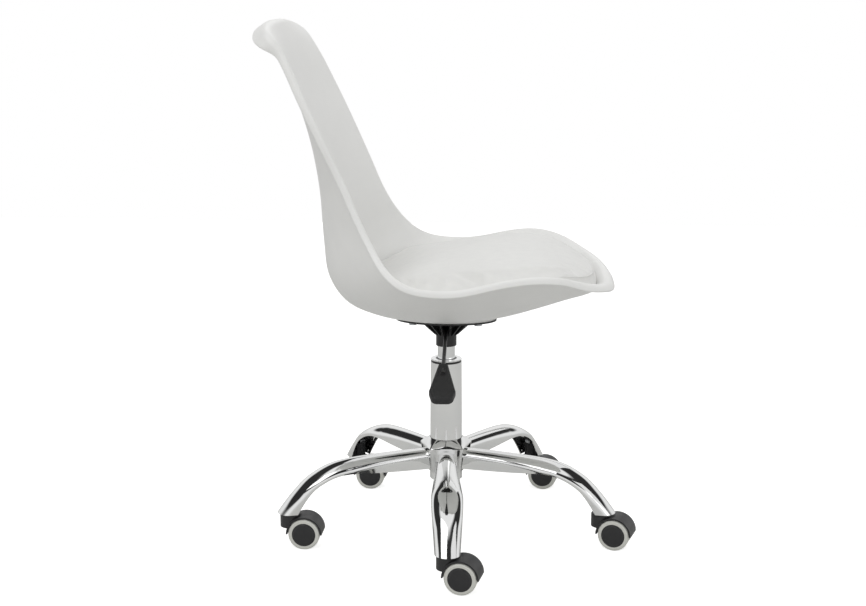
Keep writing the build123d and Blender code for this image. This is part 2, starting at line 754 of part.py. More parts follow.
for place, angle in leg_angles.items():
    stem_x, stem_y = polar(stem_circle, angle)
    heading = caster_headings[place]
    spot = Location((stem_x, stem_y, 0), (0, 0, heading))
    centre = spot * Location((caster_trail, 0, wheel_radius))
    with BuildPart() as housing:
        add(housing_form.part.moved(spot))
    save(housing, f"caster_{place}_housing")
    with BuildPart() as axle:
        add(axle_form.part.moved(spot))
    save(axle, f"caster_{place}_axle")
    for side, turn in (("inner", 0), ("outer", 180)):
        with BuildPart() as wheel:
            add(wheel_form.part.moved(centre * Location((0, 0, 0), (0, 0, turn))))
        save(wheel, f"caster_{place}_{side}_hub")
        with BuildPart() as tread:
            add(tread_form.part.moved(centre * Location((0, 0, 0), (0, 0, turn))))
        save(tread, f"caster_{place}_{side}_tread")
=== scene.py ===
# %% [markdown]
# # A swivel office chair, dressed around its CAD frame
#
# The chair is a white moulded bucket shell with a leatherette seat pad. It stands on a gas lift and
# a chromed five-legged base with twin-wheel casters. The CAD model already holds every part at its
# real place and size, so this lesson loads it first and then gives each part its look. Parts whose
# CAD shape is right keep it and get a better finish. The shell, the pad, the legs and the hub are
# flowing forms that need denser surfaces, so they are built again here inside the same space.

# %% Load the frame
import json
from math import cos, radians, sin

import bmesh
import bpy
import numpy as np
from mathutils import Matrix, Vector
from mathutils.bvhtree import BVHTree


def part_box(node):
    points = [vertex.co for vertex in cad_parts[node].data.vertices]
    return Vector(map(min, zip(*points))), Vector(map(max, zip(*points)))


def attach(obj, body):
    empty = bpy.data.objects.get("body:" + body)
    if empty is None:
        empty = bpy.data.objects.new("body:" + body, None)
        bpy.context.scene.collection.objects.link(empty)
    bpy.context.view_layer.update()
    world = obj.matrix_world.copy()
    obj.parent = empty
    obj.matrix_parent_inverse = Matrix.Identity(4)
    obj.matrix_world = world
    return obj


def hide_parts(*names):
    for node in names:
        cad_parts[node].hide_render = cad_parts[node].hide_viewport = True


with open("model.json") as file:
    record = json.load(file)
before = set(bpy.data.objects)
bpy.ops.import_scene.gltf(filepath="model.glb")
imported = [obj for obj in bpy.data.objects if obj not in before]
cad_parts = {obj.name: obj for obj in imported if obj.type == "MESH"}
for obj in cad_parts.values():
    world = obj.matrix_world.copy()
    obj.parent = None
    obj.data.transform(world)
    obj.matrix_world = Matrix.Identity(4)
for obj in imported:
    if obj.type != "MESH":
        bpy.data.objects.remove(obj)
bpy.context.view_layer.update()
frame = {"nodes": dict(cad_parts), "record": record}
scene = bpy.context.scene

# %% [markdown]
# ## The camera
#
# Furniture like this is shown from the side, a little from above, with a longer lens so that the
# legs near the lens do not swell. The camera is placed by its angle, height and distance from a
# point near the column, in the same frame as the chair: +X is the chair's front and +Z is up.

# %% Camera
view_turn, view_rise, view_distance = 4.0, 12.5, 2.483
view_target = Vector((-0.0213, -0.0015, 0.3784))
towards_camera = Vector((sin(radians(view_turn)) * cos(radians(view_rise)),
                         -cos(radians(view_turn)) * cos(radians(view_rise)),
                         sin(radians(view_rise))))
camera = bpy.data.objects.new("camera", bpy.data.cameras.new("camera"))
camera.data.lens = 64.67
camera.data.sensor_width = 36
camera.location = view_target + towards_camera * view_distance
camera.rotation_euler = towards_camera.to_track_quat("Z", "Y").to_euler()
scene.collection.objects.link(camera)
scene.camera = camera
print("camera at", [round(v, 3) for v in camera.location])

# %% [markdown]
# ## Small tools for materials
#
# Paint charts give colours as sRGB hex codes, while shaders work in linear light. One function
# converts them. Another adds one node with its settings and links, so that each finish below reads
# as a short recipe. Patterns use object coordinates: every part's origin is the frame's origin and
# the unit is the metre, so a pattern of size d millimetres has a scale of 1000 / d.

# %% Colour and node helpers
def linear(hex_code):
    """Linear RGBA from an sRGB hex code such as "F2F2F0"."""
    shares = [int(hex_code[i:i + 2], 16) / 255 for i in (0, 2, 4)]
    return [s / 12.92 if s <= 0.04045 else ((s + 0.055) / 1.055) ** 2.4 for s in shares] + [1.0]


def add_node(tree, kind, inputs=None, **settings):
    """Add one node. Settings are its own fields; inputs hold values, or the sockets that feed it."""
    made = tree.nodes.new(kind)
    for name, value in settings.items():
        setattr(made, name, value)
    for name, value in (inputs or {}).items():
        if isinstance(value, bpy.types.NodeSocket):
            tree.links.new(value, made.inputs[name])
        else:
            made.inputs[name].default_value = value
    return made


def per_mm(size):
    """The texture scale that gives features of this size in millimetres."""
    return 1000 / size


def new_finish(name, **shader_inputs):
    """A material with one Principled shader; returns the material, its tree, the shader and a point."""
    material = bpy.data.materials.new(name)
    material.use_nodes = True
    tree = material.node_tree
    shader = tree.nodes["Principled BSDF"]
    for socket, value in shader_inputs.items():
        shader.inputs[socket.replace("_", " ")].default_value = value
    point = add_node(tree, "ShaderNodeTexCoord").outputs["Object"]
    return material, tree, shader, point


finishes = {}

# %% [markdown]
# ## Chrome plate
#
# The legs, hub, column and gas cylinder are steel with bright decorative chrome over nickel. Chrome
# is a mirror with a faint cool tint. It never is perfectly even: handling leaves a thin smudge that
# widens highlights here and there, and polishing leaves a shallow waviness a few millimetres long.

# %% Chrome plate
chrome, tree, shader, point = new_finish("bright_chrome_plate", Metallic=1.0)
smudge = add_node(tree, "ShaderNodeTexNoise", {"Vector": point, "Scale": per_mm(45), "Detail": 4.0})
tint = add_node(tree, "ShaderNodeMix", {0: smudge.outputs["Fac"], 6: linear("DEDFE0"), 7: linear("EEEEEC")},
                data_type="RGBA")
tree.links.new(tint.outputs[2], shader.inputs["Base Color"])
gloss = add_node(tree, "ShaderNodeMapRange",
                 {"Value": smudge.outputs["Fac"], "From Min": 0.3, "From Max": 0.75, "To Min": 0.035,
                  "To Max": 0.1})
tree.links.new(gloss.outputs["Result"], shader.inputs["Roughness"])
waviness = add_node(tree, "ShaderNodeTexNoise", {"Vector": point, "Scale": per_mm(9), "Detail": 1.0})
ripple = add_node(tree, "ShaderNodeBump", {"Height": waviness.outputs["Fac"], "Strength": 0.05,
                                           "Distance": 0.0002})
tree.links.new(ripple.outputs["Normal"], shader.inputs["Normal"])
finishes["chrome"] = chrome
print("made", chrome.name)

# %% [markdown]
# ## Plastics
#
# Most of the chair's plastics are injection moulded, and the mould's spark-eroded texture gives them
# a fine even grain. The grain is about half a millimetre on the real parts. Here it is drawn two to
# four times coarser so that it still catches light at this distance. Each call below gives what
# differs: colours, roughness and grain size; the recipe is the same for all.

# %% Moulded plastics, rubber and powder coat
def moulded(name, dark, light, smooth, rough, grain, depth, patch=60, **shader_inputs):
    """A moulded or coated surface: two close tones in soft patches, and a fine bumpy grain in mm."""
    material, tree, shader, point = new_finish(name, **shader_inputs)
    patches = add_node(tree, "ShaderNodeTexNoise", {"Vector": point, "Scale": per_mm(patch), "Detail": 5.0,
                                                    "Roughness": 0.6})
    tone = add_node(tree, "ShaderNodeMix", {0: patches.outputs["Fac"], 6: linear(dark), 7: linear(light)},
                    data_type="RGBA")
    tree.links.new(tone.outputs[2], shader.inputs["Base Color"])
    texture = add_node(tree, "ShaderNodeTexNoise", {"Vector": point, "Scale": per_mm(grain), "Detail": 3.0})
    blend = add_node(tree, "ShaderNodeMix", {0: 0.5, 2: patches.outputs["Fac"], 3: texture.outputs["Fac"]})
    gloss = add_node(tree, "ShaderNodeMapRange", {"Value": blend.outputs[0], "From Min": 0.35,
                                                  "From Max": 0.65, "To Min": smooth, "To Max": rough})
    tree.links.new(gloss.outputs["Result"], shader.inputs["Roughness"])
    relief = add_node(tree, "ShaderNodeBump", {"Height": texture.outputs["Fac"], "Strength": 0.5,
                                               "Distance": depth / 1000})
    tree.links.new(relief.outputs["Normal"], shader.inputs["Normal"])
    return material


# white polypropylene: satin and slightly waxy; a little light scatters inside it, which this finish leaves
# out
finishes["shell_plastic"] = moulded("white_moulded_polypropylene", "E6E6E4", "EFEFED", 0.36, 0.46, 1.6,
                                    0.05, IOR=1.49)
# glass-filled black nylon of the caster housings and wheel discs
finishes["caster_plastic"] = moulded("black_moulded_nylon", "18181A", "242426", 0.34, 0.5, 1.2, 0.06,
                                     patch=18, IOR=1.53)
# thermoplastic polyurethane of the soft treads: pale grey and dull
finishes["tread"] = moulded("grey_polyurethane_tread", "CBCBC4", "DADAD4", 0.5, 0.65, 1.5, 0.08, patch=12,
                            IOR=1.5)
# polyester powder coat on the pressed seat plate and the lever rod
finishes["black_enamel"] = moulded("black_powder_coat", "0F0F10", "191919", 0.32, 0.45, 1.8, 0.08, patch=25,
                                   IOR=1.5)
# black polypropylene of the lever's paddle, matte from a coarse mould texture
finishes["lever_plastic"] = moulded("black_moulded_polypropylene", "141415", "1E1E1F", 0.42, 0.55, 1.2, 0.1,
                                    patch=20, IOR=1.49)
# acetal guide bush: dense, smooth and a little shiny
finishes["bush_plastic"] = moulded("black_moulded_acetal", "151516", "1D1D1E", 0.25, 0.35, 2.0, 0.03,
                                   patch=15, IOR=1.48)
# nitrile rubber bump stop
finishes["rubber"] = moulded("black_nitrile_rubber", "121212", "1B1B1B", 0.7, 0.85, 1.0, 0.1, patch=10,
                             IOR=1.52)
print("plastics", sorted(finishes))

# %% [markdown]
# ## Steel, brass and plywood inside
#
# Axles and stems are zinc-plated steel, the inserts in the shell are turned brass, and the pad is
# stapled to a birch plywood board. They show little, but each still has its maker's marks: fine
# turning lines on metal, and long grain on wood.

# %% Turned metals
def turned_metal(name, dark, light, smooth, rough, line):
    """A metal with fine parallel lines, line millimetres apart, as a lathe or a drawing die leaves."""
    material, tree, shader, point = new_finish(name, Metallic=1.0)
    stretch = add_node(tree, "ShaderNodeMapping", {"Vector": point, "Scale": (0.15, 0.15, 1.0)})
    lines = add_node(tree, "ShaderNodeTexNoise", {"Vector": stretch.outputs["Vector"], "Scale": per_mm(line),
                                                  "Detail": 4.0})
    tone = add_node(tree, "ShaderNodeMix", {0: lines.outputs["Fac"], 6: linear(dark), 7: linear(light)},
                    data_type="RGBA")
    tree.links.new(tone.outputs[2], shader.inputs["Base Color"])
    gloss = add_node(tree, "ShaderNodeMapRange", {"Value": lines.outputs["Fac"], "To Min": smooth,
                                                  "To Max": rough})
    tree.links.new(gloss.outputs["Result"], shader.inputs["Roughness"])
    relief = add_node(tree, "ShaderNodeBump", {"Height": lines.outputs["Fac"], "Strength": 0.3,
                                               "Distance": 0.00005})
    tree.links.new(relief.outputs["Normal"], shader.inputs["Normal"])
    return material


finishes["bright_steel"] = turned_metal("zinc_plated_steel", "A9ACB0", "C9CBCD", 0.22, 0.38, 0.8)
finishes["socket_steel"] = turned_metal("blackened_steel_socket", "2A2A2B", "3A3A3B", 0.35, 0.5, 1.0)
finishes["brass"] = turned_metal("turned_brass", "B08D4C", "D2B06A", 0.25, 0.4, 0.6)
print("metals done")

# %% Plywood
plywood, tree, shader, point = new_finish("birch_plywood", IOR=1.46)
along_grain = add_node(tree, "ShaderNodeMapping", {"Vector": point, "Scale": (0.08, 1.0, 1.0)})
grain = add_node(tree, "ShaderNodeTexNoise", {"Vector": along_grain.outputs["Vector"], "Scale": per_mm(4),
                                              "Detail": 6.0, "Distortion": 0.6})
wood_tone = add_node(tree, "ShaderNodeMix", {0: grain.outputs["Fac"], 6: linear("B98F5F"),
                                             7: linear("E0C49A")}, data_type="RGBA")
tree.links.new(wood_tone.outputs[2], shader.inputs["Base Color"])
wood_gloss = add_node(tree, "ShaderNodeMapRange", {"Value": grain.outputs["Fac"], "To Min": 0.55,
                                                   "To Max": 0.75})
tree.links.new(wood_gloss.outputs["Result"], shader.inputs["Roughness"])
wood_relief = add_node(tree, "ShaderNodeBump", {"Height": grain.outputs["Fac"], "Strength": 0.4,
                                                "Distance": 0.0002})
tree.links.new(wood_relief.outputs["Normal"], shader.inputs["Normal"])
finishes["plywood"] = plywood
print("made", plywood.name)

# %% [markdown]
# ## White leatherette
#
# The pad's cover is a polyurethane skin on a knitted backing, embossed with a leather pebble. The
# pebbles are about 1.2 mm across; they are drawn at 2.4 mm so that they show. Softer creases run
# between them, the skin is a touch smoother on the pebble tops, and a weak sheen lifts grazing light.

# %% Leatherette
leatherette, tree, shader, point = new_finish("white_leatherette", IOR=1.5, Sheen_Weight=0.12,
                                              Sheen_Roughness=0.5)
pebbles = add_node(tree, "ShaderNodeTexVoronoi", {"Vector": point, "Scale": per_mm(2.4)},
                   feature="DISTANCE_TO_EDGE")
creases = add_node(tree, "ShaderNodeTexNoise", {"Vector": point, "Scale": per_mm(14), "Detail": 5.0})
groove = add_node(tree, "ShaderNodeMapRange", {"Value": pebbles.outputs["Distance"], "From Max": 0.14})
skin_tone = add_node(tree, "ShaderNodeMix", {0: creases.outputs["Fac"], 6: linear("DEDEDC"),
                                             7: linear("E7E7E4")}, data_type="RGBA")
tree.links.new(skin_tone.outputs[2], shader.inputs["Base Color"])
skin_gloss = add_node(tree, "ShaderNodeMapRange", {"Value": groove.outputs["Result"], "To Min": 0.58,
                                                   "To Max": 0.42})
tree.links.new(skin_gloss.outputs["Result"], shader.inputs["Roughness"])
skin_height = add_node(tree, "ShaderNodeMix", {0: 0.35, 2: groove.outputs["Result"],
                                               3: creases.outputs["Fac"]})
skin_relief = add_node(tree, "ShaderNodeBump", {"Height": skin_height.outputs[0], "Strength": 0.35,
                                                "Distance": 0.00012})
tree.links.new(skin_relief.outputs["Normal"], shader.inputs["Normal"])
finishes["cushion_cover"] = leatherette
print("made", leatherette.name)

# %% [markdown]
# ## Finishes on the CAD parts
#
# Every node of the frame names a material slot in the record. Each node's slot is looked up and its
# imported plain colour is swapped for the finish made above.

# %% Swap the plain colours for finishes
slot_of_node = {}
for entry in frame["record"]["materials"]:
    for node_name in entry.get("nodes", []):
        slot_of_node[node_name] = entry["slot"]
for node_name, part in frame["nodes"].items():
    slot_name = slot_of_node.get(node_name) or part.data.materials[0].name
    part.data.materials.clear()
    part.data.materials.append(finishes[slot_name])
print(len(frame["nodes"]), "CAD nodes dressed")

# %% [markdown]
# ## The shell's surface
#
# The bucket shell is one moulding: a seat, a waist and a back that flow into each other. A smooth
# way to describe it is a spine, the line down its middle, with a cross-section at each place along
# it. The section rises towards the sides as a power of the distance from the middle. Each station
# below gives the spine's point, the direction in which the sides rise, how far they rise, the half
# width, and the power. Between stations the values are blended and then lightly averaged, because
# a moulded form has no sudden change of curvature.

# %% Stations along the spine
stations = np.array([
    # spine x, spine z, rise direction, rise, half width, power: front edge to the top
    (246.5, 423, 118, 36, 148, 2.3),
    (228, 411, 112, 36, 148, 2.3),
    (196, 400, 106, 60, 184, 2.1),
    (150, 384, 101, 78, 205, 2.0),
    (86, 366, 97, 91, 219, 2.0),
    (15, 358, 90, 90, 227, 2.0),
    (-50, 358, 84, 96, 224, 2.0),
    (-108, 367, 68, 110, 212, 2.0),
    (-155, 388, 54, 123, 197, 2.15),
    (-181, 424, 44, 119, 184, 2.1),
    (-189, 480, 38, 96, 173, 2.0),
    (-194, 560, 31, 66, 170, 1.95),
    (-206, 640, 29, 43, 175, 1.95),
    (-223, 706, 29, 30, 172, 2.0),
    (-237, 760, 31, 19, 160, 2.1),
    (-248, 796, 33, 9, 151, 2.1),
    (-257, 817, 35, 0, 144, 2.1),
])
spine_step = 2.0          # mm between samples of the spine
averaging = 9.0           # mm, how far neighbouring values are averaged


def catmull(keys, values, wanted):
    """Smooth values at the wanted places between keys, passing through each given value."""
    slopes = np.gradient(values, keys, axis=0)
    cell = np.clip(np.searchsorted(keys, wanted) - 1, 0, len(keys) - 2)
    span = (keys[cell + 1] - keys[cell])[:, None]
    t = ((wanted - keys[cell])[:, None]) / span
    return ((2 * t**3 - 3 * t**2 + 1) * values[cell] + (t**3 - 2 * t**2 + t) * span * slopes[cell]
            + (3 * t**2 - 2 * t**3) * values[cell + 1] + (t**3 - t**2) * span * slopes[cell + 1])


chord = np.hypot(*np.diff(stations[:, :2], axis=0).T)
station_at = np.concatenate([[0], np.cumsum(chord)])
spine_at = np.linspace(0, station_at[-1], int(station_at[-1] / spine_step) + 1)
profile = catmull(station_at, stations, spine_at)
reach = int(3 * averaging / spine_step)
kernel = np.exp(-0.5 * (np.arange(-reach, reach + 1) * spine_step / averaging) ** 2)
kernel /= kernel.sum()
before = 2 * profile[0] - profile[reach:0:-1]
after_end = 2 * profile[-1] - profile[-2:-reach - 2:-1]
mirrored = np.concatenate([before, profile, after_end])
profile = np.stack([np.convolve(column, kernel, "valid") for column in mirrored.T], axis=1)
print("spine length", round(station_at[-1]), "mm,", len(spine_at), "samples")


def shell_point(along, across):
    """The shell's upper surface, in mm: along is measured on the spine, across from the middle."""
    x, z, turn, rise, half, power = [np.interp(along, spine_at, column) for column in profile.T]
    lift = rise * (np.abs(across) / half) ** power
    return np.stack([x + np.cos(np.radians(turn)) * lift, across + 0 * x,
                     z + np.sin(np.radians(turn)) * lift], axis=-1)


def shell_normal(along, across):
    """The unit normal on the sitter's side."""
    step = 0.5
    along = np.clip(along, step, spine_at[-1] - step)
    by_along = shell_point(along + step, across) - shell_point(along - step, across)
    by_across = shell_point(along, across + step) - shell_point(along, across - step)
    normal = np.cross(by_across, by_along)
    return normal / np.linalg.norm(normal, axis=-1, keepdims=True)

# %% [markdown]
# ## The shell's outline
#
# In the spine's coordinates the shell's edge is a long closed loop: a rounded front, slightly waisted
# sides, and a top with tight corners. The two ends are superellipses, which are rounder or squarer
# by one power. The loop is then spaced evenly, so that the rolled lip along it has even facets.

# %% Outline of the moulding
front_start = 186.0       # mm along the spine where the rounded front begins
front_power = 2.8
top_start = float(np.interp(785, profile[:, 1][spine_at > 300], spine_at[spine_at > 300]))
top_power = 3.2
crest_inset = 4.5         # the lip's roll starts this far inside the crest
outline_points = 320
outline_passes = 60       # smoothing passes over the loop


def outline_half():
    """(along, across) points of one side, from the middle of the front to the middle of the top."""
    turn = np.linspace(0, np.pi / 2, 200)
    half = np.interp(front_start, spine_at, profile[:, 4]) - crest_inset
    front = np.stack([front_start * (1 - np.cos(turn) ** (2 / front_power)),
                      half * np.sin(turn) ** (2 / front_power)], axis=1)
    side_at = np.arange(front_start + spine_step, top_start, spine_step)
    side = np.stack([side_at, np.interp(side_at, spine_at, profile[:, 4]) - crest_inset], axis=1)
    half = side[-1, 1]
    top_length = station_at[-1] - top_start
    top = np.stack([top_start + top_length * np.sin(turn) ** (2 / top_power),
                    half * np.cos(turn) ** (2 / top_power)], axis=1)
    return np.concatenate([front, side, top])


one_side = outline_half()
loop = np.concatenate([one_side, (one_side * (1, -1))[-2:0:-1]])
for _ in range(outline_passes):
    loop = loop / 2 + (np.roll(loop, 1, axis=0) + np.roll(loop, -1, axis=0)) / 4
rim_points = shell_point(loop[:, 0], loop[:, 1])
lengths = np.linalg.norm(np.diff(rim_points, axis=0, append=rim_points[:1]), axis=1)
travelled = np.concatenate([[0], np.cumsum(lengths)])
even = np.linspace(0, travelled[-1], outline_points, endpoint=False)
closed = np.concatenate([loop, loop[:1]])
rim = np.stack([np.interp(even, travelled, closed[:, k]) for k in (0, 1)], axis=1)
print("edge length", round(travelled[-1]), "mm")

# %% [markdown]
# ## The rolled lip, and the shell as one closed skin
#
# A thin moulding is stiffened by rolling its edge outwards and down. The lip starts level with the
# surface and turns through a bit over a right angle. It is small along the sides, rounder at the
# front where the thighs rest, and large at the top, where it curls right back. The skin is one grid:
# from the middle out over the upper surface, round the lip, round its thickness, and back under.

# %% Build the shell
shell_wall = 4.0
side_lip = (6.0, 112.0, 3.5)      # roll radius, roll angle, straight run at its end
front_lip = (12.0, 92.0, 4.0)
top_lip = (11.0, 98.0, 14.0)
rings, roll_steps, edge_steps = 30, 12, 6
medial_front = 200.0              # mm along the spine where the fan at the front starts
medial_top = top_start - 70       # and where the fan at the top starts


def eased(value, low, high):
    """0 below low, 1 above high, and a smooth turn between."""
    t = np.clip((value - low) / (high - low), 0, 1)
    return t * t * (3 - 2 * t)


def mesh_piece(name, points, faces, finish):
    """A smooth mesh object from points in millimetres."""
    mesh = bpy.data.meshes.new(name)
    mesh.from_pydata([tuple(p) for p in np.asarray(points) / 1000], [], faces)
    mesh.validate()
    piece = bpy.data.objects.new(name, mesh)
    scene.collection.objects.link(piece)
    mesh.materials.append(finish)
    mesh.shade_smooth()
    return piece


def grid_faces(rows, columns, close_rows):
    """Quads of a grid; rows close on themselves when close_rows is true."""
    faces = []
    for row in range(rows if close_rows else rows - 1):
        after = (row + 1) % rows
        for column in range(columns - 1):
            faces.append((row * columns + column, after * columns + column,
                          after * columns + column + 1, row * columns + column + 1))
    return faces


def weld(piece, distance):
    """Join points closer than distance, and point all faces outwards."""
    work = bmesh.new()
    work.from_mesh(piece.data)
    bmesh.ops.remove_doubles(work, verts=work.verts, dist=distance)
    bmesh.ops.recalc_face_normals(work, faces=work.faces)
    work.to_mesh(piece.data)
    work.free()
    piece.data.shade_smooth()


middle = np.clip(rim[:, 0], medial_front, medial_top)
upper, normals = [], []
for share in np.linspace(0, 1, rings) ** 0.85:
    along, across = middle + share * (rim[:, 0] - middle), share * rim[:, 1]
    upper.append(shell_point(along, across))
    normals.append(shell_normal(along, across))
edge, edge_normal = upper[-1], normals[-1]
tangent = np.roll(edge, -1, axis=0) - np.roll(edge, 1, axis=0)
outward = np.cross(tangent, edge_normal)
outward /= np.linalg.norm(outward, axis=1, keepdims=True)
outward *= np.sign(np.sum(outward * (edge - edge.mean(axis=0)), axis=1).mean())
at_top = eased(edge[:, 2], 775, 812)[:, None]
at_front = eased(edge[:, 0], 170, 240)[:, None]
radius, turn, run = [s + at_top * (t - s) + at_front * (f - s)
                     for s, f, t in zip(side_lip, front_lip, top_lip)]
for step in range(1, roll_steps + 1):
    angle = np.radians(turn) * step / roll_steps
    upper.append(edge + radius * (np.sin(angle) * outward + (np.cos(angle) - 1) * edge_normal))
    normals.append(np.cos(angle) * edge_normal + np.sin(angle) * outward)
end_along = np.cos(angle) * outward - np.sin(angle) * edge_normal
upper.append(upper[-1] + run * end_along)
normals.append(normals[-1])
lip_end, lip_normal = upper[-1] - normals[-1] * shell_wall / 2, normals[-1]
thickness = [lip_end + shell_wall / 2 * (cos(b) * lip_normal + sin(b) * end_along)
             for b in np.linspace(0, np.pi, edge_steps + 2)[1:-1]]
under = [p - n * shell_wall for p, n in zip(upper, normals)]
skin = np.stack(upper + thickness + under[::-1], axis=1)
shell = mesh_piece("bucket_shell", skin.reshape(-1, 3), grid_faces(skin.shape[0], skin.shape[1], True),
                   finishes["shell_plastic"])
weld(shell, 0.00002)
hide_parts("seat_shell")
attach(shell, "seat")
print("shell", len(shell.data.polygons), "faces")

# %% [markdown]
# ## The flat seat under the shell
#
# Under the bucket the moulding thickens into a flat oval, so that the steel plate bears on a level
# face and the brass inserts are buried in plastic. It is a short oval block whose top ends inside
# the shell's wall. Its faces follow the wall, so no gap opens where the bucket curves up.

# %% Thicken the shell over the plate
plate_low, plate_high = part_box("seat_plate")
seat_inset = 1.5          # mm inside the plate's rim
seat_gap = 0.1            # mm above the plate
seat_half_x = (plate_high[0] - plate_low[0]) * 500 - seat_inset
seat_half_y = (plate_high[1] - plate_low[1]) * 500 - seat_inset
seat_z = plate_high[2] * 1000 + seat_gap
around = np.linspace(0, 2 * np.pi, 96, endpoint=False)
seat_line = np.stack([seat_half_x * np.cos(around), seat_half_y * np.sin(around)], axis=1)
spine_seat = spine_at[spine_at < 560]


def shell_height(x, y):
    """Height of the shell's upper surface over a plan point of the seat, in mm."""
    line = shell_point(spine_seat, np.full(len(spine_seat), y))
    return np.interp(-x, -line[:, 0], line[:, 2])


block = []
for share, raised in ((0.0, False), (0.5, False), (1.0, False), (1.0, True), (0.5, True), (0.0, True)):
    x, y = (seat_line * share).T
    top = np.array([shell_height(a, b) for a, b in zip(x, y)]) - shell_wall / 2
    block.append(np.stack([x, y, top if raised else np.full(len(x), seat_z)], axis=1))
block = np.stack(block, axis=1)
plate_seat = mesh_piece("shell_plate_seat", block.reshape(-1, 3),
                        grid_faces(len(around), block.shape[1], True), finishes["shell_plastic"])
weld(plate_seat, 0.00002)
plate_seat.data.set_sharp_from_angle(angle=radians(40))
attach(plate_seat, "seat")
print("plate seat", len(plate_seat.data.polygons), "faces")

# %% [markdown]
# ## The legs
#
# Each leg is pressed from one strip of steel: a channel with a round crown, open underneath, that
# runs out from the hub and bends down to its caster. A pressing has no flats or corners along its
# length, and chrome shows every one, so the sections are blended finely between a few stations. Each
# section is half an ellipse over two straight sides, and the wall's inside follows it.

# %% Press the legs
leg_stations = np.array([
    # radius and height of the crown, tilt down, height of the side, half width: hub to toe
    (24, 140.4, 1, 31.0, 17.2),
    (60, 139.7, 1.2, 29.5, 17.8),
    (102, 138.5, 1.8, 26.8, 19.4),
    (125, 137.5, 3, 24.5, 20.6),
    (147, 136.2, 4.5, 21.5, 22),
    (167, 134.3, 8.5, 18.5, 23.4),
    (193, 128.6, 20, 15.5, 24.5),
    (217, 118, 34, 14.5, 24),
    (240, 102.8, 43, 15.5, 22.6),
    (262, 80.5, 49, 20, 20.6),
    (284, 53, 54, 26, 18.4),
])
leg_root = 28.0           # the leg starts inside the hub's wall
leg_sheet = 2.0
crown_share = 0.72        # height of the round crown over the half width, at most
leg_steps, crown_steps, side_steps = 72, 28, 5
toe_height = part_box("caster_near_housing")[1][2] * 1000 + 1.5


def leg_section(half, side, crown_height):
    """One wall line of the channel: up one side, over the crown and down the other."""
    climb = np.linspace(-side, -crown_height, side_steps, endpoint=False)
    arc = np.linspace(np.pi, 0, crown_steps)
    across = np.concatenate([np.full(side_steps, -half), half * np.cos(arc), np.full(side_steps, half)])
    up = np.concatenate([climb, crown_height * (np.sin(arc) - 1), climb[::-1]])
    return across, up


leg_at = np.linspace(leg_root, leg_stations[-1, 0], leg_steps)
leg_values = catmull(leg_stations[:, 0].astype(float), leg_stations[:, 1:].astype(float), leg_at)
leg_grid = []
for along, (height_at, tilt, side, half) in zip(leg_at, leg_values):
    crown_height = min(crown_share * half, side - 2)
    outer = leg_section(half, side, crown_height)
    inner = leg_section(half - leg_sheet, side - leg_sheet, crown_height - leg_sheet / 2)
    across = np.concatenate([outer[0], inner[0][::-1], outer[0][:1]])
    up = np.concatenate([outer[1], inner[1][::-1] - leg_sheet, outer[1][:1]])
    lean = radians(tilt)
    leg_grid.append(np.stack([along + up * sin(lean), across, height_at + up * cos(lean)], axis=1))
leg_grid = np.stack(leg_grid)
for joint in frame["record"]["behaviour"]["joints"]:
    if not joint["name"].endswith("_swivel") or joint["name"] == "seat_swivel":
        continue
    place = joint["name"][len("caster_"):-len("_swivel")]
    out_x, out_y = np.array(joint["pos_m"][:2]) / np.hypot(*joint["pos_m"][:2])
    turned = leg_grid @ np.array([(out_x, out_y, 0), (-out_y, out_x, 0), (0, 0, 1)])
    leg = mesh_piece("pressed_leg_" + place, turned.reshape(-1, 3),
                     grid_faces(leg_steps, leg_grid.shape[1], False), chrome)
    weld(leg, 0.00001)
    trim = bmesh.new()
    trim.from_mesh(leg.data)
    bmesh.ops.bisect_plane(trim, geom=trim.verts[:] + trim.edges[:] + trim.faces[:],
                           plane_co=(0, 0, toe_height / 1000), plane_no=(0, 0, 1), clear_inner=True)
    bmesh.ops.holes_fill(trim, edges=trim.edges[:], sides=0)
    bmesh.ops.recalc_face_normals(trim, faces=trim.faces[:])
    trim.to_mesh(leg.data)
    trim.free()
    leg.data.shade_smooth()
    leg.data.set_sharp_from_angle(angle=radians(40))
    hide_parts("leg_" + place)
    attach(leg, "base")
print("legs", len(leg.data.polygons), "faces each")

# %% [markdown]
# ## The hub
#
# The hub is a pressed cup with five flats, one for each leg, and a bevel that closes on the column.
# Its corners are drawn tight, with a small round. A rounded five-sided ring comes from joining five
# flats by a high power, so the same formula gives the cup's outside and its inside.

# %% Press the hub
hub_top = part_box("base_hub")[1][2] * 1000
hub_corner_power = 30
near_socket = next(j["pos_m"] for j in frame["record"]["behaviour"]["joints"]
                   if j["name"] == "caster_near_swivel")
hub_facing = np.arctan2(near_socket[1], near_socket[0])
hub_profile = [
    # height and flat radius of the five-sided ring, and how round it is
    (hub_top, 26.4, 1.0), (hub_top - 0.6, 27.4, 1.0), (150.5, 32.0, 0.25), (146.2, 35.3, 0.04),
    (144.8, 36.0, 0.0), (143.2, 36.0, 0.0), (125.0, 33.2, 0.0), (104.6, 30.9, 0.0), (104.0, 30.4, 0.0),
    (104.0, 28.4, 0.0), (125.0, 30.7, 0.0), (142.0, 33.0, 0.0), (hub_top - 3, 26.4, 1.0),
    (hub_top, 26.4, 1.0),
]
hub_turns = np.linspace(0, 2 * np.pi, 240, endpoint=False)
flats = np.maximum(np.cos(hub_turns[:, None] - hub_facing - np.radians(72) * np.arange(5)), 0)
five_sided = (flats ** hub_corner_power).sum(axis=1) ** (-1 / hub_corner_power)
hub_grid = []
for height_at, flat_radius, roundness in hub_profile:
    reach_at = flat_radius * (five_sided * (1 - roundness) + roundness)
    hub_grid.append(np.stack([reach_at * np.cos(hub_turns), reach_at * np.sin(hub_turns),
                              np.full(len(hub_turns), height_at)], axis=1))
hub_grid = np.stack(hub_grid, axis=1)
